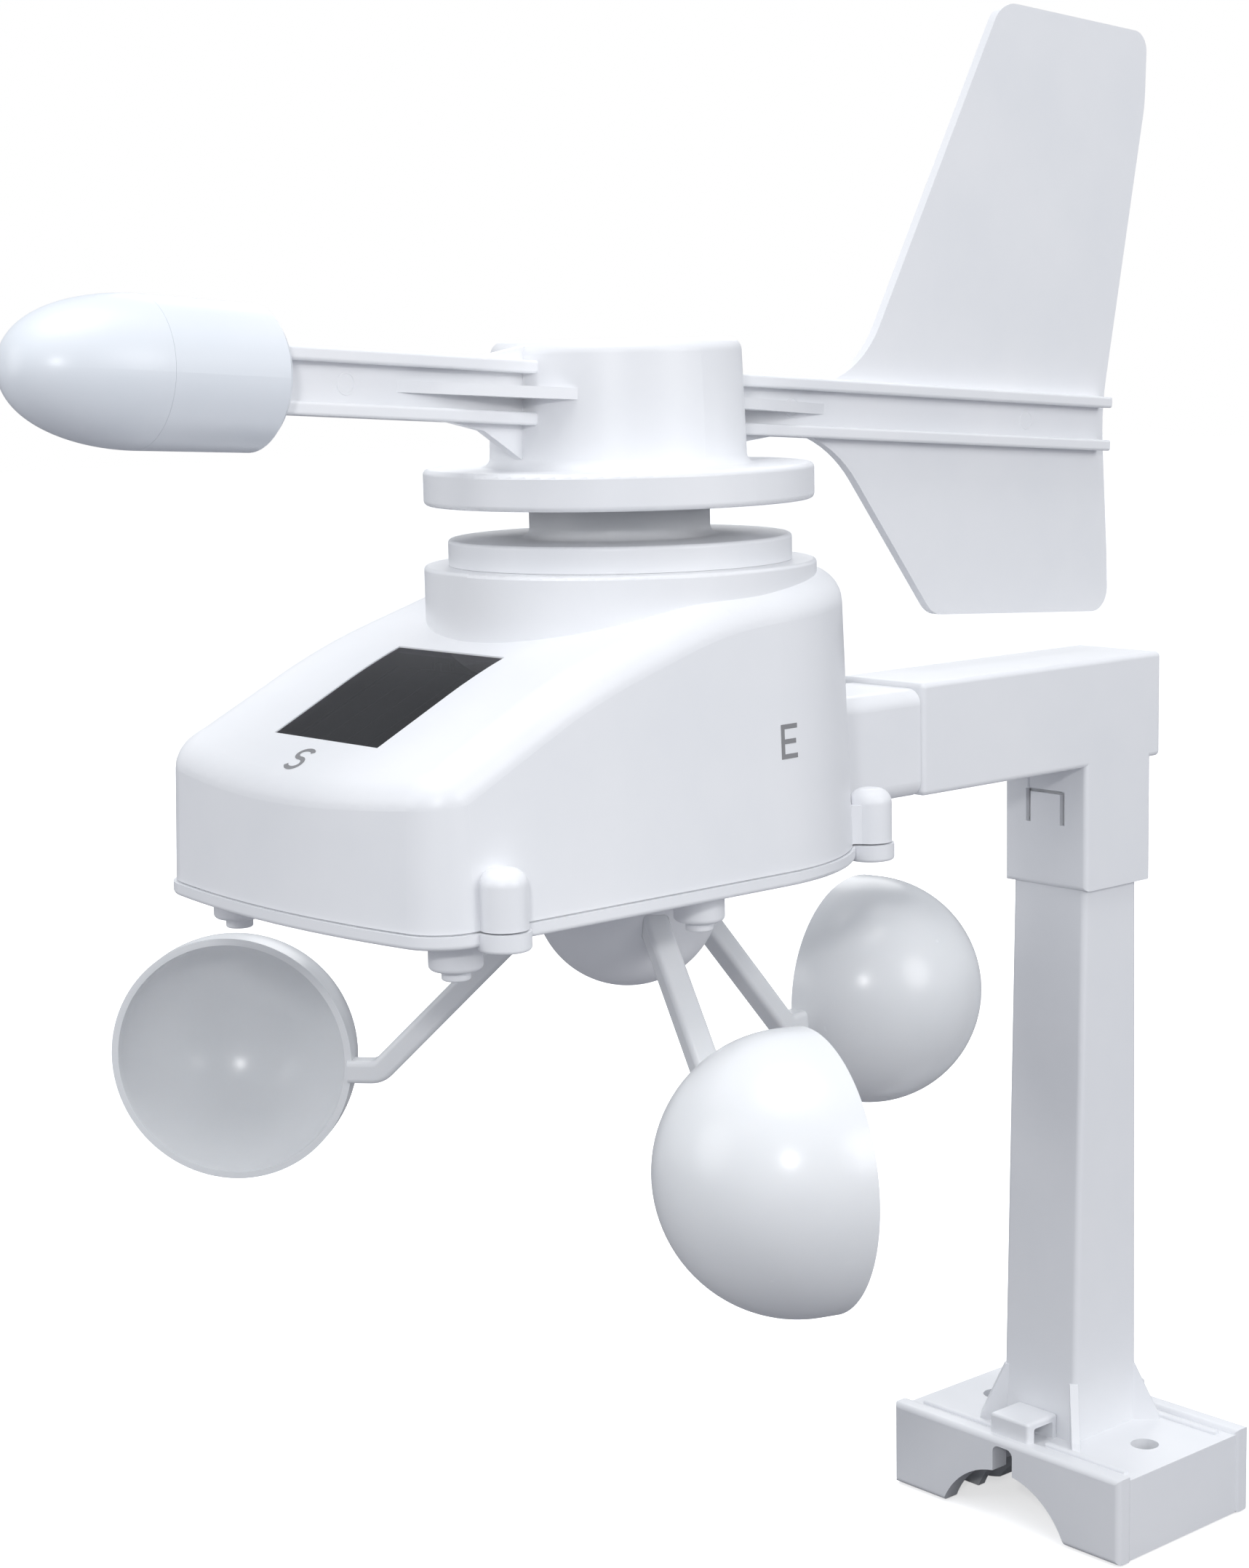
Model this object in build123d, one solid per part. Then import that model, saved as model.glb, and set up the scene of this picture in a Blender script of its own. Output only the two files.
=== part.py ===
from build123d import *
import math
import os

os.makedirs("parts", exist_ok=True)

# ---------------------------------------------------------------------------
# Wind sensor: a cup rotor under a sensor housing and a wind vane above it,
# on an elbow arm and a mast with a clamp foot.  Millimetres.
# +X east, +Y north, +Z up.  Origin: centre of the foot's bottom face.
# ---------------------------------------------------------------------------

# foot and mast
FOOT_L, FOOT_W, FOOT_H = 73.6, 51.4, 21.6
FOOT_WALL = 2.6
FLANGE_T = 5.2            # raised plates along the south and north edges
PLATE_Z = 20.4            # top of the foot between the raised plates
MAST_JOINT = 23.0         # plane where the mast meets the foot
POLE_R, POLE_Z = 21.5, -8.4
TIE_SLOT_W, TIE_SLOT_Z = 6.4, 19.6
SCREW_X, SCREW_R = 24.2, 3.5
MAST_FOOT, MAST_FOOT_Y = (23.4, 24.6), 0.2
MAST_TOP, MAST_TOP_Y = (22.8, 19.0), 1.8
MAST_TOP_Z = 186.0
MAST_WALL = 2.2

# elbow arm
ARM_HALF = 12.9
ARM_Z0, ARM_Z1 = 190.3, 216.1
ARM_S, ARM_N = -67.3, 18.5
SOCKET_S, SOCKET_N, SOCKET_Z = -9.8, 14.9, 159.9
ARM_WALL = 2.2

# sensor axis and housing; the y values of the head are measured from the axis
AXIS_Y = -146.0
BODY_Z, COVER_H, SEAM = 184.6, 2.6, 0.35
BODY_W, BODY_S, BODY_ROUND = 46.0, -85.6, 3.0
BODY_N = BODY_ROUND + BODY_W
BODY_BULGE, BODY_CORNER = 5.0, 9.8
BODY_DRAFT = 2.0
SHELL_T = 2.2
ROOF_R = 7.0
RING_R, RING_Z = 41.0, 248.5
TOWER_R, TOWER_Z = 35.9, 253.9
NECK_R, NECK_Z = 18.9, 266.0
POST_R, POST_Z = 8.0, 284.0
COVER_POST_Z = 206.5
WINDOW_X, WINDOW_S, WINDOW_N = 17.0, -77.0, -45.5
WALL_SCREW_R, WALL_SCREW_Z = 4.6, 199.0
WALL_SCREWS = ((47.6, -72.0), (-47.6, -72.0), (32.9, 40.4), (-32.9, 40.4))
PEGS = ((36.0, -74.5), (-36.0, -74.5), (36.0, -12.5), (-36.0, -12.5))

# vane
SKIRT_R, SKIRT_Z0, SKIRT_Z1 = 40.7, 261.0, 268.5
HUB_R0, HUB_R1, HUB_Z = 26.9, 25.9, 294.2
BEAM_Z, BEAM_H, RAIL_W, RAIL_T, WEB_T = 282.2, 12.9, 10.6, 2.6, 2.4
BEAM_RAKE = 3.9
BEAM_TAIL = 154.5
NOSE_R, NOSE_BACK, NOSE_SEAM, NOSE_TIP = 14.1, -90.2, -116.2, -142.6
NOSE_WALL = 2.2
FIN_T = 2.2

# rotor
CUP_COUNT, CUP_FIRST = 3, -18.9
CUP_R, CUP_BAND, CUP_WALL = 27.0, 3.6, 1.5
CUP_REACH, CUP_Z = 88.4, 140.1
STALK_W, STALK_T, STALK_BACK = 5.6, 5.0, 1.7
ELBOW_R, ELBOW_Z = 55.4, 137.6
DOME_R, DOME_Z, DOME_TOP = 19.9, 177.9, 181.6

# shafts and bearings
SHAFT_R, BORE_R = 2.0, 2.05
CLIP_R, CLIP_T = 1.6, 0.5
BEARING_R, BEARING_W = 6.0, 4.0
ROTOR_BEARINGS = (184.4, 202.4)
VANE_BEARINGS = (251.0, 279.8)
ROTOR_SHAFT, ROTOR_CLIP = (162.0, 213.5), 206.8
VANE_SHAFT, VANE_CLIP = (230.0, 291.4), 250.1
FIT = 0.02                # radial play of pieces fixed into one another
BOARD_Z, BOARD_T = 224.0, 1.6
BATTERY_Y = (-59.0, -43.0)
BOARD_POSTS = ((26.0, -27.0), (-26.0, -27.0), (26.0, 23.0), (-26.0, 23.0))


# ---------------------------------------------------------------- helpers --
def cyl(radius, z0, z1, x=0.0, y=0.0):
    """Upright cylinder between two heights."""
    return Pos(x, y, (z0 + z1) / 2) * Cylinder(radius, z1 - z0)


def tube(outer, inner, z0, z1, x=0.0, y=0.0):
    """Upright tube between two heights."""
    return cyl(outer, z0, z1, x, y) - cyl(inner, z0 - 1, z1 + 1, x, y)


def cone(r0, r1, z0, z1, x=0.0, y=0.0):
    """Upright frustum between two heights."""
    return Pos(x, y, (z0 + z1) / 2) * Cone(r0, r1, z1 - z0)


def block(x0, x1, y0, y1, z0, z1):
    """Box from its limits."""
    box = Box(x1 - x0, y1 - y0, z1 - z0)
    return Pos((x0 + x1) / 2, (y0 + y1) / 2, (z0 + z1) / 2) * box


def soft_block(x0, x1, y0, y1, z0, z1, radius, axes=(Axis.X, Axis.Y, Axis.Z)):
    """Box with rounded edges parallel to the given axes."""
    box = block(x0, x1, y0, y1, z0, z1)
    edges = ShapeList(e for axis in axes for e in box.edges().filter_by(axis))
    return fillet(edges, radius)


def side_plate(points, half, radii=None):
    """Outline in the north-up plane, given thickness across the x = 0 plane."""
    if radii is None:
        line = Polyline(*points, close=True)
    else:
        line = FilletPolyline(*points, radius=radii, close=True)
    return extrude(Plane.YZ * make_face(line), half, both=True)


def spin(shape, angle):
    """Turn a shape about the world Z axis."""
    return Rot(0, 0, angle) * shape


def on_axis(shape):
    """Move a shape from the origin to the sensor axis."""
    return Pos(0, AXIS_Y, 0) * shape


def ring_edges(shape, z, radius=None, tol=0.05):
    """Circular edges at a height, and of a radius if one is given."""
    found = shape.edges().filter_by(GeomType.CIRCLE)
    found = found.filter_by(lambda e: abs(e.center().Z - z) < tol)
    if radius is not None:
        found = found.filter_by(lambda e: abs(e.radius - radius) < tol)
    return found


# ---------------------------------------------------------- foot and mast --
def make_foot_and_mast():
    """Foot and hollow mast, divided just above the foot's raised plates."""
    body = foot_plate()
    for side in (-1, 1):
        body -= tie_block(side) + tie_hole(side)
    body += mast(0.0)
    for sx in (-1, 1):
        for sy in (-1, 1):
            body += mast_gusset(sx, sy)
    body -= mast(MAST_WALL)
    body -= Pos(0, 0, POLE_Z) * Rot(90, 0, 0) * Cylinder(POLE_R, FOOT_W + 20)
    for side in (-1, 1):
        mid = side * (FOOT_W - FLANGE_T) / 2
        half = TIE_SLOT_W / 2
        slot = block(-half, half, mid - FLANGE_T, mid + FLANGE_T, 4, TIE_SLOT_Z)
        body -= fillet(slot.edges().filter_by(Axis.Y), 1.8)
        body -= cyl(SCREW_R, -1, FOOT_H + 1, side * SCREW_X)
    below = block(-60, 60, -60, 60, -1, MAST_JOINT)
    above = block(-60, 60, -60, 60, MAST_JOINT, MAST_TOP_Z + 1)
    return body & below, body & above


def foot_plate():
    """Hollow foot with raised plates, ridges, ribs and screw bosses."""
    half_l, half_w = FOOT_L / 2, FOOT_W / 2
    body = soft_block(-half_l + 0.5, half_l - 0.5, -half_w + 1, half_w - 1, 0, PLATE_Z, 0.8, (Axis.Z,))
    for side in (-1, 1):
        south, north = sorted((side * half_w, side * (half_w - FLANGE_T)))
        body += soft_block(-half_l, half_l, south, north, 0, FOOT_H, 1.4, (Axis.Z, Axis.X))
        ridge = side * (half_w - FLANGE_T - 2.6)
        low, high = PLATE_Z - 1, PLATE_Z + 0.8
        body += soft_block(-half_l + 4, half_l - 4, ridge - 0.9, ridge + 0.9, low, high, 0.5, (Axis.X,))
    inside = PLATE_Z - FOOT_WALL
    rim = half_w - FLANGE_T
    body -= block(-half_l + 3.2, half_l - 3.2, -rim, rim, -1, inside)
    for y in (-11.0, 11.0):
        body += block(-half_l + 2, half_l - 2, y - 1.2, y + 1.2, 0, inside + 1)
    for side in (-1, 1):
        body += cyl(5.8, 0, inside + 1, side * SCREW_X)
    return body


def mast(wall):
    """Tapered square mast, shrunk by a wall thickness."""
    low = PLATE_Z - FOOT_WALL - (1 if wall else 0)
    high = MAST_TOP_Z + (1 if wall else 0)
    foot = [size - 2 * wall for size in MAST_FOOT]
    top = [size - 2 * wall for size in MAST_TOP]
    corner = 0.6 if wall else 1.5
    return loft([Plane.XY.offset(low) * Pos(0, MAST_FOOT_Y) * RectangleRounded(*foot, corner),
                 Plane.XY.offset(high) * Pos(0, MAST_TOP_Y) * RectangleRounded(*top, corner)])


def mast_gusset(sx, sy):
    """Upright rib on one corner of the mast's root."""
    reach, rise, half = 7.0, 15.5, 1.0
    blank = side_plate([(-4, 0), (reach, 0), (reach - 0.6, 2.5), (0.4, rise), (-4, rise)], half)
    angle = math.degrees(math.atan2(sy, sx)) - 90
    x = sx * (MAST_FOOT[0] / 2 - 0.8)
    y = MAST_FOOT_Y + sy * (MAST_FOOT[1] / 2 - 0.8)
    return Pos(x, y, PLATE_Z - 0.6) * spin(blank, angle)


def tie_block(side):
    """Block on the foot's edge, before the passage for a cable tie is cut."""
    y0, y1 = sorted((side * 23.2, side * 11.9))
    raw = block(-6.2, 6.2, y0, y1, PLATE_Z, 26.6)
    return fillet(raw.edges().filter_by(lambda e: e.center().Z > PLATE_Z + 0.1), 0.8)


def tie_hole(side):
    """Passage through that block, down to the foot's top."""
    y0, y1 = sorted((side * 20.8, side * 13.7))
    return soft_block(-8, 8, y0, y1, PLATE_Z, 24.9, 0.6, (Axis.X,))


def make_tie_bridge(side):
    """Bridge over the passage, from the mast's wall to the foot's raised edge."""
    return tie_block(side) - tie_hole(side) - mast(0.0)


# -------------------------------------------------------------- elbow arm --
def make_elbow_arm():
    arm = soft_block(-ARM_HALF, ARM_HALF, ARM_S, ARM_N, ARM_Z0, ARM_Z1, 1.2)
    low, high = SOCKET_Z, ARM_Z0 + 4
    arm += soft_block(-ARM_HALF, ARM_HALF, SOCKET_S, SOCKET_N, low, high, 1.2, (Axis.Z, Axis.X))
    inner = ARM_HALF - ARM_WALL
    arm -= block(-inner, inner, ARM_S - 1, ARM_N - ARM_WALL, ARM_Z0 + ARM_WALL, ARM_Z1 - ARM_WALL)
    half_x, half_y = MAST_TOP[0] / 2 + 0.25, MAST_TOP[1] / 2 + 0.7
    arm -= block(-half_x, half_x, MAST_TOP_Y - half_y, MAST_TOP_Y + half_y, SOCKET_Z - 1, MAST_TOP_Z + 1.0)
    # snap tongue: a U-shaped cut in the south face
    tongue, gap, low, high = 4.6, 1.5, 175.4, 183.6
    for side in (-1, 1):
        x0, x1 = sorted((side * tongue, side * (tongue + gap)))
        arm -= block(x0, x1, SOCKET_S - 1, SOCKET_S + 4, low, high)
    arm -= block(-tongue - 1, tongue + 1, SOCKET_S - 1, SOCKET_S + 4, high - 0.7, high)
    # shallow finger relief above the tongue
    relief = soft_block(-5.6, 5.6, SOCKET_S - 1, SOCKET_S + 0.7, high, ARM_Z0 - 0.6, 0.4, (Axis.Y,))
    return arm - relief


# ---------------------------------------------------------------- housing --
def plan_face(grow=0.0):
    """Housing plan at its bottom edge: half-round back, bulged front with round corners."""
    west, south = -(BODY_W + grow), BODY_S - grow
    front = south - BODY_BULGE
    outline = ThreePointArc((west, south), (0, front), (-west, south))
    outline += Line((-west, south), (-west, BODY_ROUND))
    outline += ThreePointArc((-west, BODY_ROUND), (0, BODY_ROUND - west), (west, BODY_ROUND))
    outline += Line((west, BODY_ROUND), (west, south))
    face = make_face(outline)
    return fillet(face.vertices().filter_by(lambda v: v.Y < 0), BODY_CORNER + grow)


def housing_block(grow=0.0, low=BODY_Z, edge=ROOF_R):
    """Wedge-shaped housing volume, grown or shrunk evenly by an offset."""
    front = BODY_S - BODY_BULGE - 8
    profile = [(front, low), (front, 203.5 + grow), (-86.5, 214.2 + grow), (-48.6, 232.7 + grow),
               (-11.8, 243.6 + grow), (BODY_N + 2, 247.4 + grow), (BODY_N + 2, low)]
    roof = side_plate(profile, 80, [0, 0, 30, 150, 100, 0, 0])
    walls = extrude(Plane.XY.offset(BODY_Z) * plan_face(grow), 80, taper=BODY_DRAFT)
    solid = walls & roof
    top = solid.edges().filter_by(lambda e: e.bounding_box().min.Z > 200 and is_roof_edge(e))
    return fillet(top, edge)


def is_roof_edge(edge):
    """Edges where the roof meets the walls: not upright and not straight across."""
    size = edge.bounding_box().size
    across = size.Y < 0.1 and size.Z < 0.1
    upright = size.Z > 8 and size.X + size.Y < 6
    return not across and not upright


def wall_boss(x, y):
    """Screw boss on the outside of a wall, with a rounded top."""
    boss = cyl(WALL_SCREW_R, BODY_Z + COVER_H + SEAM, WALL_SCREW_Z, x, y)
    boss = fillet(ring_edges(boss, WALL_SCREW_Z), 3.2)
    out = 0 if y < 0 else y - BODY_ROUND
    web = block(-7.0, 0, -4.1, 4.1, BODY_Z + COVER_H + SEAM, WALL_SCREW_Z - 3.2)
    return boss + Pos(x, y, 0) * spin(web, math.degrees(math.atan2(out, x)))


def make_housing():
    wall_z = BODY_Z + COVER_H + SEAM
    ring = cyl(RING_R, 225.0, RING_Z)
    outer = housing_block() + fillet(ring_edges(ring, RING_Z), 0.8)
    for x, y in WALL_SCREWS:
        outer += wall_boss(x, y)
    inner = housing_block(-SHELL_T, BODY_Z, ROOF_R - 1.5)
    inner += cyl(RING_R - SHELL_T, 224, RING_Z - SHELL_T)
    shell = outer - inner
    shell -= block(-80, 80, -110, 80, BODY_Z - 5, wall_z)
    shell -= cyl(TOWER_R - 3.0, RING_Z - 6, RING_Z + 2)
    for x, y in WALL_SCREWS:
        shell -= cyl(1.25 + FIT, wall_z - 1, 196.0, x, y)
    shell += make_stub()
    return on_axis(shell - window_prism(0.0))


def make_stub():
    """Square stub on the north wall, with the spigot that enters the arm."""
    mid, joint = (ARM_Z0 + ARM_Z1) / 2, ARM_S - AXIS_Y
    low, high, half = 190.2, 214.8, 12.2
    spigot = ARM_HALF - ARM_WALL - 0.15
    stub = soft_block(-half, half, BODY_N - 4.2, joint - 0.05, low, high, 3.6, (Axis.Y,))
    stub += soft_block(-spigot, spigot, joint - 2, joint + 13, mid - spigot, mid + spigot, 1.0, (Axis.Y,))
    hollow = spigot - 2.4
    return stub - block(-hollow, hollow, BODY_N - 6, joint + 14, mid - hollow, mid + hollow)


def window_prism(shrink):
    """Upright prism over the solar window's outline."""
    x, y0, y1 = WINDOW_X - shrink, WINDOW_S + shrink, WINDOW_N - shrink
    return block(-x, x, y0, y1, 205, 245)


def make_solar_window():
    """Window lens: the roof's own curved skin inside the window's outline."""
    roof = housing_block()
    lens = (roof - Pos(0, 0, -1.6) * roof) & window_prism(0.12)
    return on_axis(Pos(0, 0, -0.25) * lens)


def make_solar_cell():
    """Flat panel under the window, on the roof's mean slope."""
    mid_y = (WINDOW_S + WINDOW_N) / 2
    slope = math.degrees(math.atan2(14.5, WINDOW_N - WINDOW_S))
    panel = Box(31.0, 31.5, 1.6)
    return on_axis(Pos(0, mid_y, 221.4) * Rot(slope, 0, 0) * panel)


def make_bottom_cover():
    rim = Plane.XY.offset(BODY_Z) * plan_face(0.5)
    cover = extrude(rim, COVER_H)
    edge = cover.faces().sort_by(Axis.Z)[0].edges()
    cover = fillet(edge, 0.9)
    cover -= extrude(Plane.XY.offset(BODY_Z + 1.8) * plan_face(-SHELL_T - 1.8), COVER_H)
    lip = extrude(Plane.XY.offset(BODY_Z + 1.0) * plan_face(-SHELL_T - 0.3), 4.4)
    lip -= extrude(Plane.XY.offset(BODY_Z + 1.8) * plan_face(-SHELL_T - 1.8), 5.0)
    cover += lip
    for x, y in WALL_SCREWS:
        ear = cyl(WALL_SCREW_R + 0.5, BODY_Z - 1.0, BODY_Z + COVER_H, x, y)
        cover += fillet(ring_edges(ear, BODY_Z - 1.0), 0.7)
    for x, y in PEGS:
        cover += fillet(ring_edges(cyl(5.2, 178.6, BODY_Z + 1, x, y), 178.6), 1.0)
        cover += fillet(ring_edges(cyl(2.8, 176.6, BODY_Z, x, y), 176.6), 0.5)
    cover += cyl(9.0, BODY_Z - 1.2, BODY_Z + 1.5)
    cover += cyl(POST_R, BODY_Z, COVER_POST_Z)
    for x, y in BOARD_POSTS:
        post = cyl(3.2, BODY_Z + 1, BOARD_Z - FIT, x, y)
        cover += post - cyl(1.0 + FIT, BOARD_Z - 9, BOARD_Z + 1, x, y)
    cover -= cyl(SHAFT_R + 0.8, BODY_Z - 3, 210)
    cover -= cyl(BEARING_R + FIT, BODY_Z - 2, ROTOR_BEARINGS[0] + BEARING_W)
    cover -= cyl(BEARING_R + FIT, ROTOR_BEARINGS[1], 210)
    cover -= battery_opening(0.0)
    for x, y in WALL_SCREWS:
        cover -= cyl(1.6, BODY_Z - 3, BODY_Z + 5, x, y)
        cover -= cyl(3.0, BODY_Z - 3, BODY_Z + 0.8, x, y)
    return on_axis(cover)


def battery_opening(shrink):
    """Doorway in the cover under the battery holder."""
    return soft_block(-29 + shrink, 29 - shrink, -69.5 + shrink, -32.5 - shrink,
                      BODY_Z - 2, BODY_Z + COVER_H + 3, 2.0 - shrink, (Axis.Z,))


def make_battery_door():
    door = battery_opening(0.25) & block(-60, 60, -90, 0, BODY_Z, BODY_Z + 1.7)
    grip = block(-8, 8, -66.6, -65.4, BODY_Z - 1, BODY_Z + 0.6)
    for step in range(4):
        door -= Pos(0, 2.4 * step, 0) * grip
    door -= cyl(1.6, BODY_Z - 1, BODY_Z + 3, 0, -51.0)
    return on_axis(door)


def make_battery_holder():
    floor = BODY_Z + 1.8 + FIT
    tray = soft_block(-31, 31, -71.5, -31.6, floor, 199.0, 1.5, (Axis.Z,))
    for y in BATTERY_Y:
        bay = Pos(0, y, 196.4) * Rot(0, 90, 0) * Cylinder(7.5, 53.4)
        tray -= bay + block(-26.7, 26.7, y - 7.5, y + 7.5, floor - 1, 196.4)
    return on_axis(tray)


def make_batteries():
    cells = []
    for y, side in zip(BATTERY_Y, (1, -1)):
        cell = Rot(0, 90, 0) * Cylinder(7.1, 48.6)
        nipple = Pos(side * 24.9, 0, 0) * Rot(0, 90, 0) * Cylinder(2.6, 1.2)
        cells.append(Pos(0, y, 196.4) * (cell + nipple))
    return on_axis(Compound(cells))


def make_battery_contacts():
    plates = []
    for side in (-1, 1):
        for y in BATTERY_Y:
            x0, x1 = sorted((side * 26.1, side * 26.6))
            plates.append(block(x0, x1, y - 5, y + 5, 190.5, 202.5))
    return on_axis(Compound(plates))


def make_gasket():
    low, high = BODY_Z + COVER_H + 0.02, BODY_Z + COVER_H + SEAM - 0.02
    band = extrude(Plane.XY.offset(low) * plan_face(-0.5), high - low)
    return on_axis(band - extrude(Plane.XY.offset(low - 1) * plan_face(-SHELL_T - 0.25), 3))


def make_wall_screws():
    screws = []
    for x, y in WALL_SCREWS:
        head = cyl(2.7, BODY_Z - 0.9, BODY_Z + 0.78, x, y)
        slot = block(x - 1.8, x + 1.8, y - 0.35, y + 0.35, BODY_Z - 1.2, BODY_Z - 0.1)
        cross = block(x - 0.35, x + 0.35, y - 1.8, y + 1.8, BODY_Z - 1.2, BODY_Z - 0.1)
        shank = cyl(1.25, BODY_Z, 195.0, x, y)
        screws.append(head + shank - slot - cross)
    return on_axis(Compound(screws))


def make_tower():
    """Ring, neck and bearing post on top of the housing."""
    neck = cyl(NECK_R, TOWER_Z - 1, NECK_Z)
    tower = cyl(TOWER_R, RING_Z + 0.05, TOWER_Z) + fillet(ring_edges(neck, NECK_Z), 1.5)
    tower = fillet(ring_edges(tower, TOWER_Z, NECK_R), 2.0)
    tower = fillet(ring_edges(tower, TOWER_Z, TOWER_R), 0.8)
    tower += tube(TOWER_R - 3.1, TOWER_R - 5.2, RING_Z - 3.4, RING_Z + 1)
    tower -= cyl(TOWER_R - 5.2, RING_Z - 8, TOWER_Z - 2.2)
    tower -= cyl(NECK_R - 2.2, RING_Z - 8, NECK_Z - 2.2)
    post = cyl(POST_R, VANE_BEARINGS[0] - 1, POST_Z)
    tower += fillet(ring_edges(post, POST_Z), 0.8)
    tower -= cyl(SHAFT_R + 0.8, 245, POST_Z + 5)
    tower -= cyl(BEARING_R + FIT, VANE_BEARINGS[1], POST_Z + 1)
    tower -= cyl(BEARING_R + FIT, VANE_BEARINGS[0] - 3, VANE_BEARINGS[0] + BEARING_W)
    return on_axis(tower)


def make_bearing(z):
    """Plain-bore bearing ring with relieved faces."""
    ring = tube(BEARING_R, BORE_R, z, z + BEARING_W)
    for low in (z - 1, z + BEARING_W - 0.5):
        ring -= tube(BEARING_R - 1.2, BORE_R + 1.2, low, low + 1.5)
    return on_axis(ring)


def make_shaft(z0, z1, groove):
    """Steel shaft with chamfered ends and a groove for its retaining ring."""
    shaft = cyl(SHAFT_R, z0, z1)
    shaft = chamfer(ring_edges(shaft, z0) + ring_edges(shaft, z1), 0.4)
    return on_axis(shaft - tube(SHAFT_R + 1, CLIP_R - FIT, groove - 0.05, groove + CLIP_T + 0.05))


def make_clip(z):
    """Open retaining ring in a shaft's groove."""
    ring = tube(3.5, CLIP_R, z, z + CLIP_T)
    return on_axis(ring - block(-0.8, 0.8, 0, 5, z - 1, z + 2))


def make_magnet(radius, z0, z1):
    """Ring magnet on a shaft's end."""
    return on_axis(chamfer(ring_edges(tube(radius, SHAFT_R + FIT, z0, z1), z0, radius), 0.4))


def make_circuit_board():
    board = soft_block(-30, 30, -33, 28, BOARD_Z, BOARD_Z + BOARD_T, 3.0, (Axis.Z,))
    for x, y in BOARD_POSTS:
        board -= cyl(1.3, BOARD_Z - 1, BOARD_Z + 3, x, y)
    return on_axis(board)


def make_board_screws():
    screws = []
    top = BOARD_Z + BOARD_T
    for x, y in BOARD_POSTS:
        screws.append(cyl(2.3, top + FIT, top + 1.6, x, y) + cyl(1.0, BOARD_Z - 7, top + 1, x, y))
    return on_axis(Compound(screws))


def make_board_parts():
    """Sensors and electronics that stand on the circuit board."""
    top = BOARD_Z + BOARD_T + FIT
    under = BOARD_Z - FIT
    wire = FilletPolyline((28, 15, top), (28, 15, top + 9), (28, -18, top + 9), radius=4)
    return {
        "direction_sensor": on_axis(soft_block(-3.5, 3.5, -3.5, 3.5, top, top + 2, 0.3, (Axis.Z,))),
        "speed_sensor": on_axis(soft_block(-2, 2, 4, 20, under - 3.5, under, 0.8, (Axis.Y,))),
        "radio_module": on_axis(soft_block(-22, -6, 6, 20, top, top + 2.4, 0.5, (Axis.Z,))),
        "storage_capacitor": on_axis(chamfer(ring_edges(cyl(5, top, top + 10, 16, 14), top + 10), 0.6)),
        "antenna": on_axis(sweep(Plane(wire @ 0, z_dir=wire % 0) * Circle(0.6), path=wire)),
    }


# ------------------------------------------------------------------- vane --
def rake(shape):
    """Tip a piece of the beam so that its nose stands a little above its tail."""
    return Pos(0, 0, BEAM_Z) * Rot(-BEAM_RAKE, 0, 0) * Pos(0, 0, -BEAM_Z) * shape


def make_vane_body():
    hub = cone(HUB_R0, HUB_R1, SKIRT_Z1 - 0.5, HUB_Z)
    skirt = cyl(SKIRT_R, SKIRT_Z0, SKIRT_Z1)
    body = fillet(ring_edges(skirt, SKIRT_Z1) + ring_edges(skirt, SKIRT_Z0), 1.1)
    body += fillet(ring_edges(hub, HUB_Z), 2.6)
    root = ring_edges(body, SKIRT_Z1).filter_by(lambda e: e.radius < 30)
    body = fillet(root, 2.0)
    body += rake(make_beam()) + make_fin()
    body -= cone(HUB_R0 - 2.4, HUB_R1 - 2.4, SKIRT_Z0 - 1, HUB_Z - 2.4)
    body -= tube(SKIRT_R - 2.2, HUB_R0 + 1.0, SKIRT_Z0 - 1, SKIRT_Z1 - 2.4)
    body += cyl(5.0, POST_Z + 1.2, HUB_Z - 1)
    body -= cyl(SHAFT_R + FIT, 270, HUB_Z - 2.6)
    return on_axis(body)


def make_beam():
    """I-section beam with its side gussets and web flares, before raking."""
    top, low = BEAM_Z + BEAM_H / 2, BEAM_Z - BEAM_H / 2
    half = WEB_T / 2
    beam = block(-half, half, NOSE_BACK, BEAM_TAIL, low + 0.5, top - 0.5)
    beam += block(-half, half, NOSE_BACK - 6, NOSE_BACK, BEAM_Z - 4, BEAM_Z + 4)
    for z0 in (low, top - RAIL_T):
        rail = block(-RAIL_W / 2, RAIL_W / 2, NOSE_BACK, BEAM_TAIL, z0, z0 + RAIL_T)
        beam += fillet(rail.edges().filter_by(Axis.Y), 0.6)
    for tip in (-59.0, 61.0):
        root = math.copysign(20.0, tip)
        wedge = Polyline((0.8, tip), (14.6, root), (-14.6, root), (-0.8, tip), close=True)
        beam += extrude(Plane.XY.offset(BEAM_Z) * make_face(wedge), 1.15, both=True)
    flares = ([(-20, top - 1), (-41, top - 1), (-33, top + 1.2), (-24, top + 3.4), (-20, top + 3.4)],
              [(-20, low + 1), (-50, low + 1), (-36, low - 1.4), (-24, low - 8.0), (-20, low - 8.0)],
              [(20, low + 1), (50, low + 1), (36, low - 1.4), (24, low - 4.5), (20, low - 4.5)])
    for outline in flares:
        beam += side_plate(outline, half)
    return beam


def make_fin():
    """Tail fin above and below the beam."""
    outline = [(26, 283.0), (71.1, 284.3), (119.3, 369.4), (172.2, 365.0), (171.4, 348.0),
               (155.6, 275.0), (157.8, 240.0), (158.2, 225.8), (94.9, 229.8), (61.5, 272.6),
               (26, 276.0)]
    radii = [0, 24, 7.8, 4.8, 30, 60, 30, 5.5, 7, 32, 0]
    return side_plate(outline, FIN_T / 2, radii)


def nose_at(shape):
    """Place a turned piece, drawn along +X, at the seam of the nose."""
    return on_axis(rake(Pos(0, NOSE_SEAM, BEAM_Z) * Rot(0, 0, -90) * shape))


def turned(points):
    """Solid of revolution about X from an outline of (x, radius) points."""
    return revolve(make_face(Polyline(*points, close=True)), Axis.X)


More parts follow.
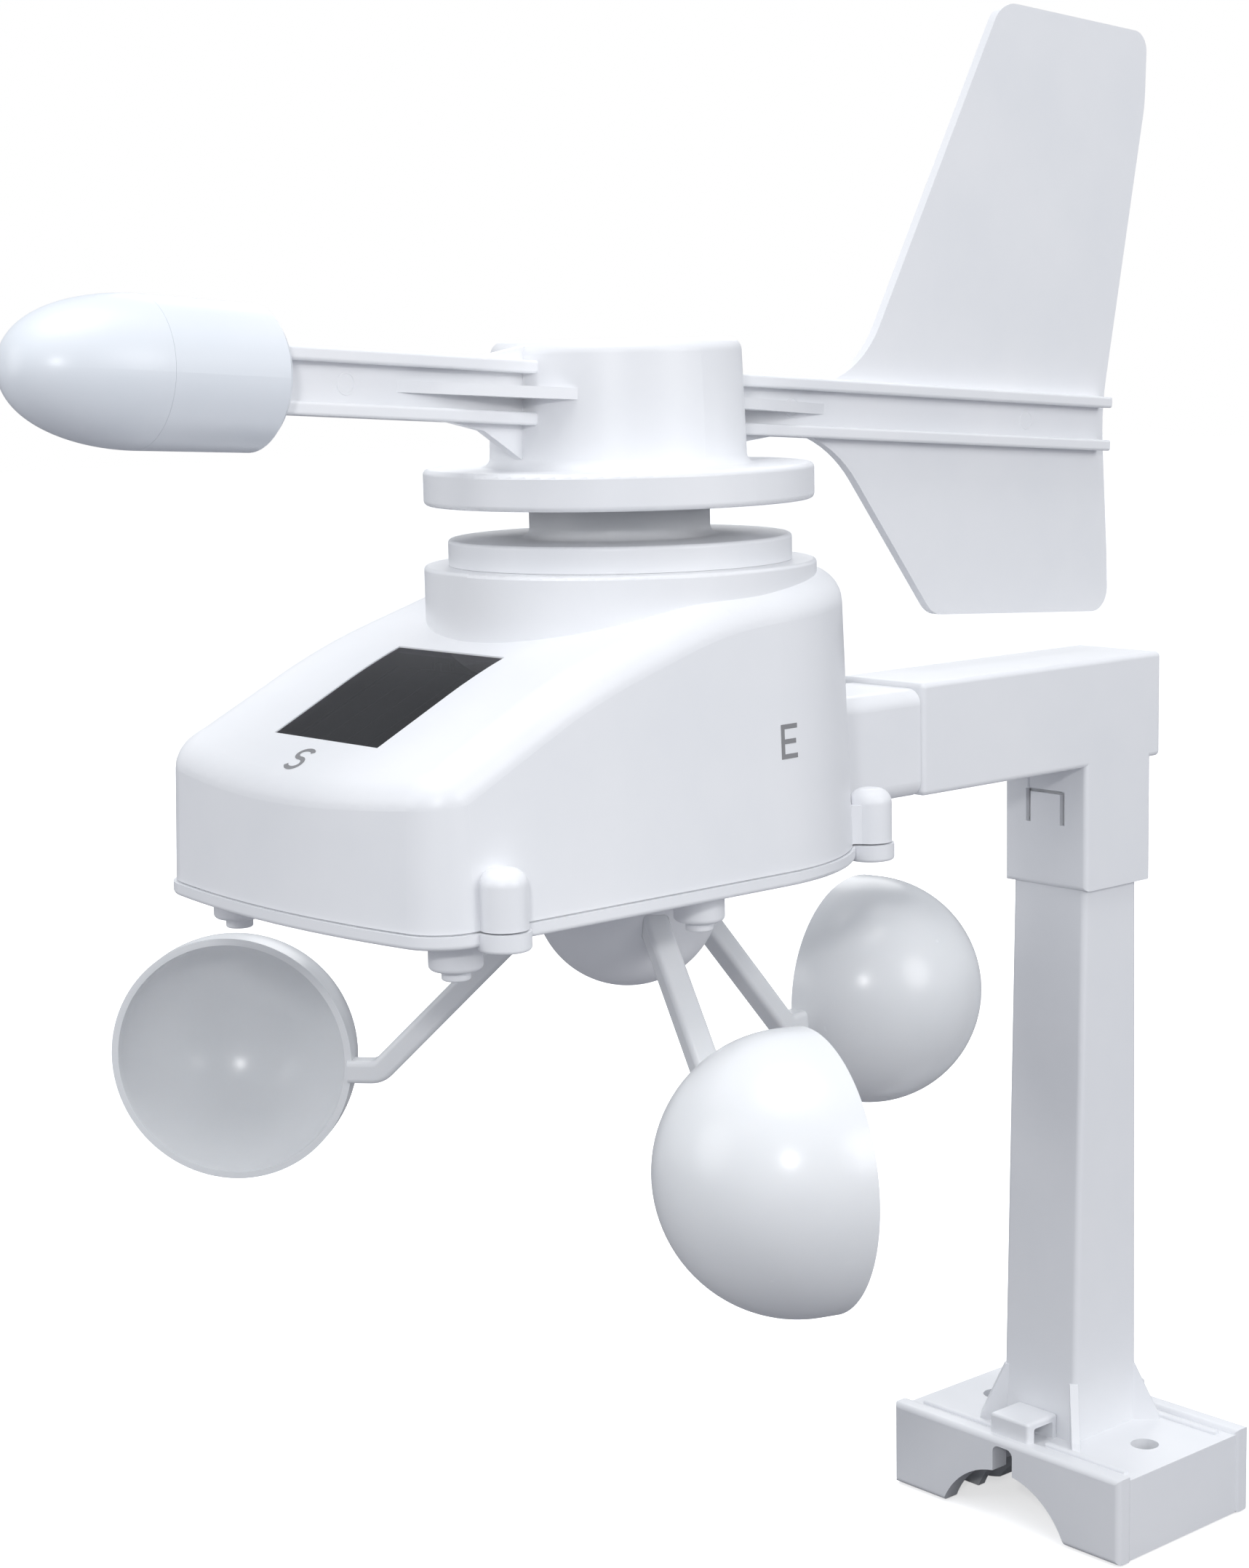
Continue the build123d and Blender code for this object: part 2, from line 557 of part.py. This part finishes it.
def half_egg(length, radius):
    """Blunt half ellipsoid of revolution along +X."""
    count = 24
    rim = [(0.0, 0.0)]
    for step in range(count + 1):
        angle = math.pi / 2 * step / count
        rim.append((length * math.sin(angle), radius * math.cos(angle) ** 0.86))
    rim[-1] = (length, 0.0)
    curve = Spline(rim[1:], tangents=((1, 0), (0, -1)))
    return revolve(make_face(curve + Line(rim[-1], (0, 0)) + Line((0, 0), rim[1])), Axis.X)


def make_nose():
    """Two-part nose shell with its ballast slug."""
    front = NOSE_SEAM - NOSE_TIP
    back = NOSE_SEAM - NOSE_BACK
    inner = NOSE_R - NOSE_WALL
    cap = half_egg(front, NOSE_R) - half_egg(front - NOSE_WALL, inner)
    cap = Pos(0.05, 0, 0) * cap
    shell = turned([(0, 0), (0, NOSE_R), (back + 1.2, NOSE_R - 0.3), (back, NOSE_R - 1.5), (back, 0)])
    shell -= turned([(1, 0), (1, inner), (back + NOSE_WALL, inner), (back + NOSE_WALL, 0)])
    tongue = Pos(back, 0, 0) * Box(20, WEB_T + 2 * FIT, 8 + 2 * FIT)
    slug = turned([(7, 0), (7, inner - 0.8), (back + 8.5, inner - 0.8), (back + 8.5, 0)])
    return nose_at(cap), nose_at(shell - tongue), nose_at(slug)


# ------------------------------------------------------------------ rotor --
def make_stalk(grow=0.0):
    """Cranked bar from the hub to the cup wall, before turning to its place."""
    path = FilletPolyline((15.0, 0, 177.7), (ELBOW_R, 0, ELBOW_Z), (62.3, 0, ELBOW_Z), radius=4)
    section = Plane(path @ 0, x_dir=(0, 1, 0), z_dir=path % 0)
    width, height = STALK_W + 2 * grow, STALK_T + 2 * grow
    bar = sweep(section * RectangleRounded(width, height, 1.2), path=path)
    return Pos(0, -STALK_BACK, 0) * bar


def bowl(radius):
    """Hemisphere with a short straight band, open face toward +Y at y = 0."""
    ball = Pos(0, -CUP_BAND, 0) * Sphere(radius)
    ball &= Pos(0, -CUP_BAND - 50, 0) * Box(100, 100, 100)
    return ball + Pos(0, -CUP_BAND / 2, 0) * Rot(90, 0, 0) * Cylinder(radius, CUP_BAND)


def make_cup_arm(angle):
    inside = Pos(CUP_REACH, 0, CUP_Z) * bowl(CUP_R - CUP_WALL)
    inside += Pos(CUP_REACH, 5, CUP_Z) * Rot(90, 0, 0) * Cylinder(CUP_R - CUP_WALL, 10.02)
    cup = Pos(CUP_REACH, 0, CUP_Z) * bowl(CUP_R)
    return on_axis(spin(cup + make_stalk() - inside, angle))


def cup_angles():
    return [CUP_FIRST + index * 360 / CUP_COUNT for index in range(CUP_COUNT)]


def make_rotor_hub():
    """Open-topped round hub with a central boss, slotted for the three stalks."""
    wall, boss = 2.2, 5.0
    inner = DOME_R - wall
    foot = DOME_Z - math.sqrt(inner ** 2 - boss ** 2)
    middle = math.sqrt(0.5)
    outer_mid = (DOME_R * middle, DOME_Z - DOME_R * middle)
    outer_arc = ThreePointArc((0, DOME_Z - DOME_R), outer_mid, (DOME_R, DOME_Z))
    half_way = math.radians(45) + math.asin(boss / inner) / 2
    inner_mid = (inner * math.sin(half_way), DOME_Z - inner * math.cos(half_way))
    inner_arc = ThreePointArc((inner, DOME_Z), inner_mid, (boss, foot))
    rim = Polyline((DOME_R, DOME_Z), (DOME_R, DOME_TOP), (inner, DOME_TOP), (inner, DOME_Z))
    bore = ROTOR_SHAFT[0] - FIT
    core = Polyline((boss, foot), (boss, DOME_TOP), (SHAFT_R + FIT, DOME_TOP), (SHAFT_R + FIT, bore),
                    (0, bore), (0, DOME_Z - DOME_R))
    dome = revolve(Plane.XZ * make_face(outer_arc + rim + inner_arc + core), Axis.Z)
    for angle in cup_angles():
        dome -= spin(make_stalk(0.05), angle)
    return on_axis(dome)


# --------------------------------------------------------------- assembly --
def build():
    parts = {}
    parts["foot"], parts["mast"] = make_foot_and_mast()
    parts["tie_bridge_south"] = make_tie_bridge(-1)
    parts["tie_bridge_north"] = make_tie_bridge(1)
    parts["elbow_arm"] = make_elbow_arm()
    parts["housing"] = make_housing()
    parts["solar_window"] = make_solar_window()
    parts["solar_cell"] = make_solar_cell()
    parts["bottom_cover"] = make_bottom_cover()
    parts["cover_gasket"] = make_gasket()
    parts["cover_screws"] = make_wall_screws()
    parts["battery_door"] = make_battery_door()
    parts["battery_holder"] = make_battery_holder()
    parts["batteries"] = make_batteries()
    parts["battery_contacts"] = make_battery_contacts()
    parts["circuit_board"] = make_circuit_board()
    parts["board_screws"] = make_board_screws()
    parts.update(make_board_parts())
    parts["tower"] = make_tower()
    for place, z in zip(("lower", "upper"), VANE_BEARINGS):
        parts["vane_bearing_" + place] = make_bearing(z)
    for place, z in zip(("lower", "upper"), ROTOR_BEARINGS):
        parts["rotor_bearing_" + place] = make_bearing(z)
    parts["vane"] = make_vane_body()
    parts["nose_front"], parts["nose_rear"], parts["nose_ballast"] = make_nose()
    parts["vane_shaft"] = make_shaft(*VANE_SHAFT, VANE_CLIP)
    parts["vane_clip"] = make_clip(VANE_CLIP)
    parts["vane_magnet"] = make_magnet(5.0, VANE_SHAFT[0], VANE_SHAFT[0] + 4)
    parts["rotor_hub"] = make_rotor_hub()
    for index, angle in enumerate(cup_angles(), 1):
        parts[f"cup_arm_{index}"] = make_cup_arm(angle)
    parts["rotor_shaft"] = make_shaft(*ROTOR_SHAFT, ROTOR_CLIP)
    parts["rotor_clip"] = make_clip(ROTOR_CLIP)
    parts["rotor_magnet"] = make_magnet(6.0, ROTOR_SHAFT[1] - 4, ROTOR_SHAFT[1])
    return parts


for name, shape in build().items():
    shape.label = name
    export_step(shape, f"parts/{name}.step")
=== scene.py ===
import math

import bmesh
import bpy
from mathutils import Matrix, Vector
from mathutils.bvhtree import BVHTree


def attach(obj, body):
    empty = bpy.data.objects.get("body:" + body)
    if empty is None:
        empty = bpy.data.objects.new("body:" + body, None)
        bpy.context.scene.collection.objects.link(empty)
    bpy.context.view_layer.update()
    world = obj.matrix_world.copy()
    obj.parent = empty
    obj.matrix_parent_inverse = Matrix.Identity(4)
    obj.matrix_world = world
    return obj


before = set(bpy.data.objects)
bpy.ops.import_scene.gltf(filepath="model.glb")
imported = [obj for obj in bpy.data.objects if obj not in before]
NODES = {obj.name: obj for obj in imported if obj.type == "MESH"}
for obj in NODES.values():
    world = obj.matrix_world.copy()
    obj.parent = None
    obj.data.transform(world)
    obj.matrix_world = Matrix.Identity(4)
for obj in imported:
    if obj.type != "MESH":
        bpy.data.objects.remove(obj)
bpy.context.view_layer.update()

MM = 0.001
AXIS_Y = -146.0 * MM                      # the upright axis of the vane and the rotor
BEAM_Z, BEAM_RAKE = 282.2, -3.9           # height of the vane's beam, and its tilt in degrees
WEB_SIDE = 1.19                           # half thickness of the beam's web

CAMERA_TURN = (48.74, 8.79, -1.19)        # yaw, pitch and roll in degrees
CAMERA_PLACE = (449.77, -540.72, 293.69)
CAMERA_LENS = 65.61

CELL_PITCH, CELL_LINE = 3.55 * MM, 0.16 * MM
INK_LIFT, INK_STEP = 0.04 * MM, 0.006 * MM
LETTER_H, LETTER_WEIGHT = 7.0, 0.14
FLOOR_HALF, FLOOR_DROP = 6.0, 0.5 * MM


# ----------------------------------------------------------------- camera --
def make_camera():
    yaw, pitch, roll = (math.radians(a) for a in CAMERA_TURN)
    back = Vector((math.sin(yaw) * math.cos(pitch), -math.cos(yaw) * math.cos(pitch), math.sin(pitch)))
    right = Vector((math.cos(yaw), math.sin(yaw), 0))
    up = back.cross(right)
    c, s = math.cos(roll), math.sin(roll)
    rolled_right = right * c + up * s
    rolled_up = up * c - right * s
    data = bpy.data.cameras.new("camera")
    data.sensor_width = 36.0
    data.sensor_fit = "AUTO"
    data.lens = CAMERA_LENS
    data.clip_start, data.clip_end = 0.01, 50
    camera = bpy.data.objects.new("camera", data)
    turn = Matrix((rolled_right, rolled_up, back)).transposed().to_4x4()
    camera.matrix_world = Matrix.Translation(Vector(CAMERA_PLACE) * MM) @ turn
    bpy.context.scene.collection.objects.link(camera)
    bpy.context.scene.camera = camera


# -------------------------------------------------------------- materials --
class Nodes:
    """A new material's node tree, with short ways to add and link its nodes."""

    def __init__(self, name):
        self.material = bpy.data.materials.new(name)
        self.material.use_nodes = True
        self.tree = self.material.node_tree
        self.shader = self.tree.nodes["Principled BSDF"]
        self.coords = self.add("ShaderNodeTexCoord").outputs["Object"]

    def add(self, kind, **values):
        node = self.tree.nodes.new(kind)
        for key, value in values.items():
            if hasattr(node, key):
                setattr(node, key, value)
            else:
                node.inputs[key.replace("_", " ")].default_value = value
        return node

    def link(self, output, target):
        self.tree.links.new(output, target)

    def set(self, **values):
        for key, value in values.items():
            self.shader.inputs[key.replace("_", " ")].default_value = value

    def noise(self, scale, detail=4.0, rough=0.5):
        node = self.add("ShaderNodeTexNoise", Scale=scale, Detail=detail, Roughness=rough)
        self.link(self.coords, node.inputs["Vector"])
        return node.outputs["Fac"]

    def ramp(self, fac, low, high, dark, light):
        node = self.add("ShaderNodeValToRGB")
        node.color_ramp.elements[0].position = low
        node.color_ramp.elements[0].color = (*dark, 1)
        node.color_ramp.elements[1].position = high
        node.color_ramp.elements[1].color = (*light, 1)
        self.link(fac, node.inputs["Fac"])
        return node.outputs["Color"]

    def span(self, fac, low, high):
        node = self.add("ShaderNodeMapRange")
        node.inputs["To Min"].default_value = low
        node.inputs["To Max"].default_value = high
        self.link(fac, node.inputs["Value"])
        return node.outputs["Result"]

    def bump(self, fac, strength, distance):
        node = self.add("ShaderNodeBump")
        node.inputs["Strength"].default_value = strength
        node.inputs["Distance"].default_value = distance
        self.link(fac, node.inputs["Height"])
        self.link(node.outputs["Normal"], self.shader.inputs["Normal"])


def moulded(name, dark, light, rough=(0.3, 0.42), grain=0.12, gloss=0.5, sub=0.0):
    """Injection-moulded plastic: faint mottling, fine spark texture, uneven sheen."""
    mat = Nodes(name)
    mat.link(mat.ramp(mat.noise(38.0), 0.3, 0.7, dark, light), mat.shader.inputs["Base Color"])
    mat.link(mat.span(mat.noise(160.0, 6.0), *rough), mat.shader.inputs["Roughness"])
    mat.bump(mat.noise(5200.0, 3.0, 0.6), grain, 0.00006)
    mat.set(IOR=1.49, Specular_IOR_Level=gloss)
    if sub:
        mat.set(Subsurface_Weight=sub, Subsurface_Scale=0.004, Subsurface_Radius=(1.0, 0.9, 0.8))
    return mat.material


def metal(name, dark, light, rough=(0.2, 0.35)):
    """Turned or drawn metal with fine streaks."""
    mat = Nodes(name)
    stretch = mat.add("ShaderNodeMapping")
    stretch.inputs["Scale"].default_value = (900, 900, 60)
    mat.link(mat.coords, stretch.inputs["Vector"])
    streaks = mat.add("ShaderNodeTexNoise", Scale=1.0, Detail=5.0)
    mat.link(stretch.outputs["Vector"], streaks.inputs["Vector"])
    mat.link(mat.ramp(streaks.outputs["Fac"], 0.3, 0.7, dark, light), mat.shader.inputs["Base Color"])
    mat.link(mat.span(streaks.outputs["Fac"], *rough), mat.shader.inputs["Roughness"])
    mat.bump(streaks.outputs["Fac"], 0.1, 0.00005)
    mat.set(Metallic=1.0)
    return mat.material


def solar(name):
    """Dark amorphous cell with thin collector lines across it."""
    mat = Nodes(name)
    split = mat.add("ShaderNodeSeparateXYZ")
    mat.link(mat.coords, split.inputs["Vector"])
    wave = mat.add("ShaderNodeMath", operation="PINGPONG")
    mat.link(split.outputs["X"], wave.inputs[0])
    wave.inputs[1].default_value = CELL_PITCH
    line = mat.add("ShaderNodeMath", operation="LESS_THAN")
    mat.link(wave.outputs[0], line.inputs[0])
    line.inputs[1].default_value = CELL_LINE
    mix = mat.add("ShaderNodeMix", data_type="RGBA")
    mix.inputs[6].default_value = (0.002, 0.0018, 0.003, 1)
    mix.inputs[7].default_value = (0.16, 0.15, 0.13, 1)
    mat.link(line.outputs[0], mix.inputs[0])
    mat.link(mix.outputs[2], mat.shader.inputs["Base Color"])
    mat.link(mat.span(mat.noise(300.0), 0.2, 0.3), mat.shader.inputs["Roughness"])
    mat.set(IOR=1.2, Specular_IOR_Level=0.1)
    return mat.material


def window(name):
    """Smoked clear lens over the cell."""
    mat = Nodes(name)
    tint = mat.ramp(mat.noise(60.0), 0.3, 0.7, (0.2, 0.19, 0.22), (0.26, 0.25, 0.28))
    mat.link(tint, mat.shader.inputs["Base Color"])
    mat.link(mat.span(mat.noise(240.0), 0.02, 0.06), mat.shader.inputs["Roughness"])
    mat.set(Transmission_Weight=1.0, IOR=1.22, Specular_IOR_Level=0.2)
    return mat.material


MATERIALS = {
    "body": moulded("white_plastic", (0.85, 0.86, 0.885), (0.885, 0.89, 0.91)),
    "cups": moulded("cup_plastic", (0.80, 0.815, 0.83), (0.835, 0.845, 0.86), (0.2, 0.3), 0.05, sub=0.1),
    "nose": moulded("nose_plastic", (0.76, 0.80, 0.85), (0.80, 0.83, 0.875), (0.28, 0.38), 0.05),
    "dark": moulded("dark_plastic", (0.02, 0.02, 0.022), (0.035, 0.035, 0.037)),
    "seal": moulded("grey_rubber", (0.56, 0.57, 0.59), (0.62, 0.63, 0.65), rough=(0.6, 0.75)),
    "board": moulded("circuit_board", (0.02, 0.12, 0.06), (0.03, 0.16, 0.08)),
    "jacket": moulded("battery_jacket", (0.1, 0.12, 0.16), (0.14, 0.16, 0.2), rough=(0.2, 0.3)),
    "ink": moulded("letter_ink", (0.22, 0.22, 0.23), (0.3, 0.3, 0.31), rough=(0.45, 0.6)),
    "steel": metal("steel", (0.5, 0.5, 0.51), (0.66, 0.66, 0.67)),
    "bronze": metal("bearing_bronze", (0.38, 0.24, 0.12), (0.5, 0.34, 0.18)),
    "iron": metal("cast_iron", (0.1, 0.1, 0.1), (0.18, 0.18, 0.18), rough=(0.5, 0.7)),
    "solar": solar("solar_cell"),
    "window": window("window"),
}

LOOKS = {
    "cups": ("cup_arm_1", "cup_arm_2", "cup_arm_3"),
    "nose": ("nose_front", "nose_rear"),
    "window": ("solar_window",),
    "solar": ("solar_cell",),
    "seal": ("cover_gasket",),
    "steel": ("cover_screws", "board_screws", "battery_contacts", "vane_shaft", "vane_clip", "rotor_shaft",
              "rotor_clip", "antenna", "radio_module"),
    "dark": ("battery_holder", "direction_sensor", "speed_sensor", "storage_capacitor"),
    "board": ("circuit_board",),
    "jacket": ("batteries",),
    "bronze": ("vane_bearing_lower", "vane_bearing_upper", "rotor_bearing_lower", "rotor_bearing_upper"),
    "iron": ("nose_ballast", "vane_magnet", "rotor_magnet"),
}


def dress_nodes():
    """Give every carried-over piece its material; those not in LOOKS are white plastic."""
    look_of = {node: look for look, names in LOOKS.items() for node in names}
    for name, obj in NODES.items():
        material = MATERIALS[look_of.get(name, "body")]
        obj.data.materials.clear()
        obj.data.materials.append(material)


# ---------------------------------------------------------------- details --
def add_piece(name, mesh, look, body):
    """Put a mesh into the scene with its material, riding on a body."""
    obj = bpy.data.objects.new(name, mesh)
    mesh.materials.append(MATERIALS[look])
    bpy.context.scene.collection.objects.link(obj)
    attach(obj, body)
    return obj


def stroke(points, width):
    """Flat ribbon of even width along a line of points, as quads."""
    left, right = [], []
    for index, point in enumerate(points):
        before = points[max(index - 1, 0)]
        after = points[min(index + 1, len(points) - 1)]
        along = (Vector(after) - Vector(before)).normalized()
        side = Vector((-along.y, along.x)) * width / 2
        left.append(Vector(point) + side)
        right.append(Vector(point) - side)
    return [(left[k], right[k], right[k + 1], left[k + 1]) for k in range(len(points) - 1)]


def split_line(start, end, count=8):
    """Evenly spaced points along a straight line."""
    return [Vector(start).lerp(Vector(end), step / count) for step in range(count + 1)]


def arc(centre, radii, start, end, count=20):
    """Points along an ellipse between two angles in degrees."""
    middle = Vector(centre)
    angles = [math.radians(start + (end - start) * step / count) for step in range(count + 1)]
    return [middle + Vector((radii[0] * math.cos(a), radii[1] * math.sin(a))) for a in angles]


def glyph_lines(text):
    """Strokes of the plain letters S, E, N and W, 1 high and centred on the origin."""
    if text == "S":
        upper = arc((0, 0.23), (0.29, 0.205), 25, 270)
        return [upper + arc((0, -0.205), (0.3, 0.23), 90, -155)[1:]]
    if text == "E":
        bars = [split_line((-0.28, y), (0.32, y)) for y in (-0.43, 0.43)]
        return bars + [split_line((-0.28, 0), (0.26, 0)), split_line((-0.28, -0.5), (-0.28, 0.5))]
    if text == "N":
        posts = [split_line((x, -0.5), (x, 0.5)) for x in (-0.3, 0.3)]
        return posts + [split_line((-0.3, 0.48), (0.3, -0.48))]
    zigzag = ((-0.46, 0.5), (-0.22, -0.46), (0, 0.4), (0.22, -0.46), (0.46, 0.5))
    return [split_line(a, b) for a, b in zip(zigzag, zigzag[1:])]


def letter(name, text, place, right, up, height=LETTER_H, weight=LETTER_WEIGHT):
    """Printed compass letter, laid onto the housing along its own normal."""
    out = right.cross(up).normalized()
    turn = Matrix((right, up, out)).transposed().to_4x4()
    lay = Matrix.Translation(Vector(place) * MM + Vector((0, AXIS_Y, 0))) @ turn
    tree = BVHTree.FromObject(NODES["housing"], bpy.context.evaluated_depsgraph_get())
    edit = bmesh.new()
    for layer, line in enumerate(glyph_lines(text)):
        for corners in stroke(line, weight):
            verts = []
            for corner in corners:
                flat = lay @ (Vector((corner.x, corner.y, 0)) * height * MM)
                hit, normal, _, _ = tree.ray_cast(flat + out * 0.01, -out)
                verts.append(edit.verts.new(hit + normal * (INK_LIFT + layer * INK_STEP)))
            edit.faces.new(verts)
    bmesh.ops.remove_doubles(edit, verts=edit.verts[:], dist=0.000002)
    bmesh.ops.recalc_face_normals(edit, faces=edit.faces[:])
    mesh = bpy.data.meshes.new(name)
    edit.to_mesh(mesh)
    edit.free()
    return add_piece(name, mesh, "ink", "frame")


def make_letters():
    x, y, z = Vector((1, 0, 0)), Vector((0, 1, 0)), Vector((0, 0, 1))
    slope = math.radians(33)
    uphill = y * math.cos(slope) + z * math.sin(slope)
    letter("letter_S", "S", (0.0, -82.6, 215.2), x, uphill, 6.8, 0.15)
    letter("letter_E", "E", (45.0, 4.8, 213.9), y, z)
    letter("letter_W", "W", (-45.0, 4.8, 213.9), -y, z)
    letter("letter_N", "N", (0.0, 48.0, 228.0), -x, z)


def raked(y, z):
    """Point of the vane's beam, given in its unraked frame, in metres."""
    rake = math.radians(BEAM_RAKE)
    drop = z - BEAM_Z
    return (AXIS_Y + (y * math.cos(rake) - drop * math.sin(rake)) * MM,
            (BEAM_Z + y * math.sin(rake) + drop * math.cos(rake)) * MM)


def make_ejector_marks():
    """Low round ejector-pin rings on both faces of the beam's web."""
    profile = ((2.3, 0.0), (2.2, 0.12), (1.9, 0.12), (1.8, 0.02), (0.0, 0.02))
    count = 32
    edit = bmesh.new()
    for y in (-70.0, 50.0, 128.0):
        cy, cz = raked(y, BEAM_Z)
        for side in (-1, 1):
            rings = []
            for radius, rise in profile:
                ring = []
                for step in range(count if radius else 1):
                    a = math.tau * step / count
                    reach = radius * MM
                    x = side * (WEB_SIDE + rise) * MM
                    ring.append(edit.verts.new((x, cy + reach * math.cos(a), cz + reach * math.sin(a))))
                rings.append(ring)
            for outer, inner in zip(rings, rings[1:]):
                for i in range(count):
                    j = (i + 1) % count
                    far = [inner[j], inner[i]] if len(inner) > 1 else [inner[0]]
                    edit.faces.new([outer[i], outer[j]] + far)
    bmesh.ops.recalc_face_normals(edit, faces=edit.faces[:])
    mesh = bpy.data.meshes.new("ejector_marks")
    edit.to_mesh(mesh)
    edit.free()
    return add_piece("ejector_marks", mesh, "body", "vane_assembly")


# ------------------------------------------------------------------ stage --
def make_stage():
    """Pale paper floor: bright where the camera sees it, calmer where it lights the object."""
    mesh = bpy.data.meshes.new("floor")
    half = FLOOR_HALF
    corners = [(-half, -half, 0), (half, -half, 0), (half, half, 0), (-half, half, 0)]
    mesh.from_pydata(corners, [], [(0, 1, 2, 3)])
    floor = bpy.data.objects.new("floor", mesh)
    floor.location.z = -FLOOR_DROP
    bpy.context.scene.collection.objects.link(floor)
    mat = Nodes("floor_paper")
    path = mat.add("ShaderNodeLightPath")
    seen = mat.add("ShaderNodeBsdfDiffuse")
    paper = mat.ramp(mat.noise(3.0), 0.2, 0.8, (0.93, 0.93, 0.93), (0.96, 0.96, 0.96))
    mat.link(paper, seen.inputs["Color"])
    glow = mat.add("ShaderNodeEmission", Strength=0.6)
    bright = mat.add("ShaderNodeAddShader")
    mat.link(seen.outputs[0], bright.inputs[0])
    mat.link(glow.outputs[0], bright.inputs[1])
    bounced = mat.add("ShaderNodeBsdfDiffuse")
    bounced.inputs["Color"].default_value = (0.27, 0.27, 0.29, 1)
    mix = mat.add("ShaderNodeMixShader")
    mat.link(path.outputs["Is Camera Ray"], mix.inputs[0])
    mat.link(bounced.outputs[0], mix.inputs[1])
    mat.link(bright.outputs[0], mix.inputs[2])
    mat.link(mix.outputs[0], mat.tree.nodes["Material Output"].inputs["Surface"])
    mesh.materials.append(mat.material)


def make_world():
    """White backdrop, with softer and cooler light on the object."""
    world = bpy.data.worlds.new("studio")
    world.use_nodes = True
    tree = world.node_tree
    light = tree.nodes["Background"]
    light.inputs["Color"].default_value = (0.90, 0.94, 1.0, 1)
    light.inputs["Strength"].default_value = 0.58
    white = tree.nodes.new("ShaderNodeBackground")
    white.inputs["Strength"].default_value = 1.0
    white.inputs["Color"].default_value = (1, 1, 1, 1)
    path = tree.nodes.new("ShaderNodeLightPath")
    mix = tree.nodes.new("ShaderNodeMixShader")
    tree.links.new(path.outputs["Is Camera Ray"], mix.inputs[0])
    tree.links.new(light.outputs[0], mix.inputs[1])
    tree.links.new(white.outputs[0], mix.inputs[2])
    tree.links.new(mix.outputs[0], tree.nodes["World Output"].inputs["Surface"])
    bpy.context.scene.world = world
    bpy.context.scene.view_settings.view_transform = "Standard"


def area_light(name, place, target, size, power):
    """Round area light aimed at a point."""
    data = bpy.data.lights.new(name, "AREA")
    data.shape = "DISK"
    data.size = size
    data.energy = power
    light = bpy.data.objects.new(name, data)
    light.location = place
    light.rotation_euler = (Vector(target) - Vector(place)).to_track_quat("-Z", "Y").to_euler()
    bpy.context.scene.collection.objects.link(light)


def make_lights():
    """Large soft light overhead, a small one by the camera, and fills all round."""
    centre = (0, -0.12, 0.2)
    for name, place, size, power in (
            ("top", (0.1, -0.35, 1.6), 1.1, 9.0),
            ("flash", (0.46, -0.62, 0.42), 0.05, 0.85),
            ("side", (1.1, 0.1, 0.6), 0.6, 3.9),
            ("front", (-0.25, -0.75, 0.4), 0.4, 0.8),
            ("back", (-0.9, 0.8, 0.9), 0.8, 3.0)):
        area_light(name, place, centre, size, power)


make_camera()
dress_nodes()
make_letters()
make_ejector_marks()
make_stage()
make_world()
make_lights()
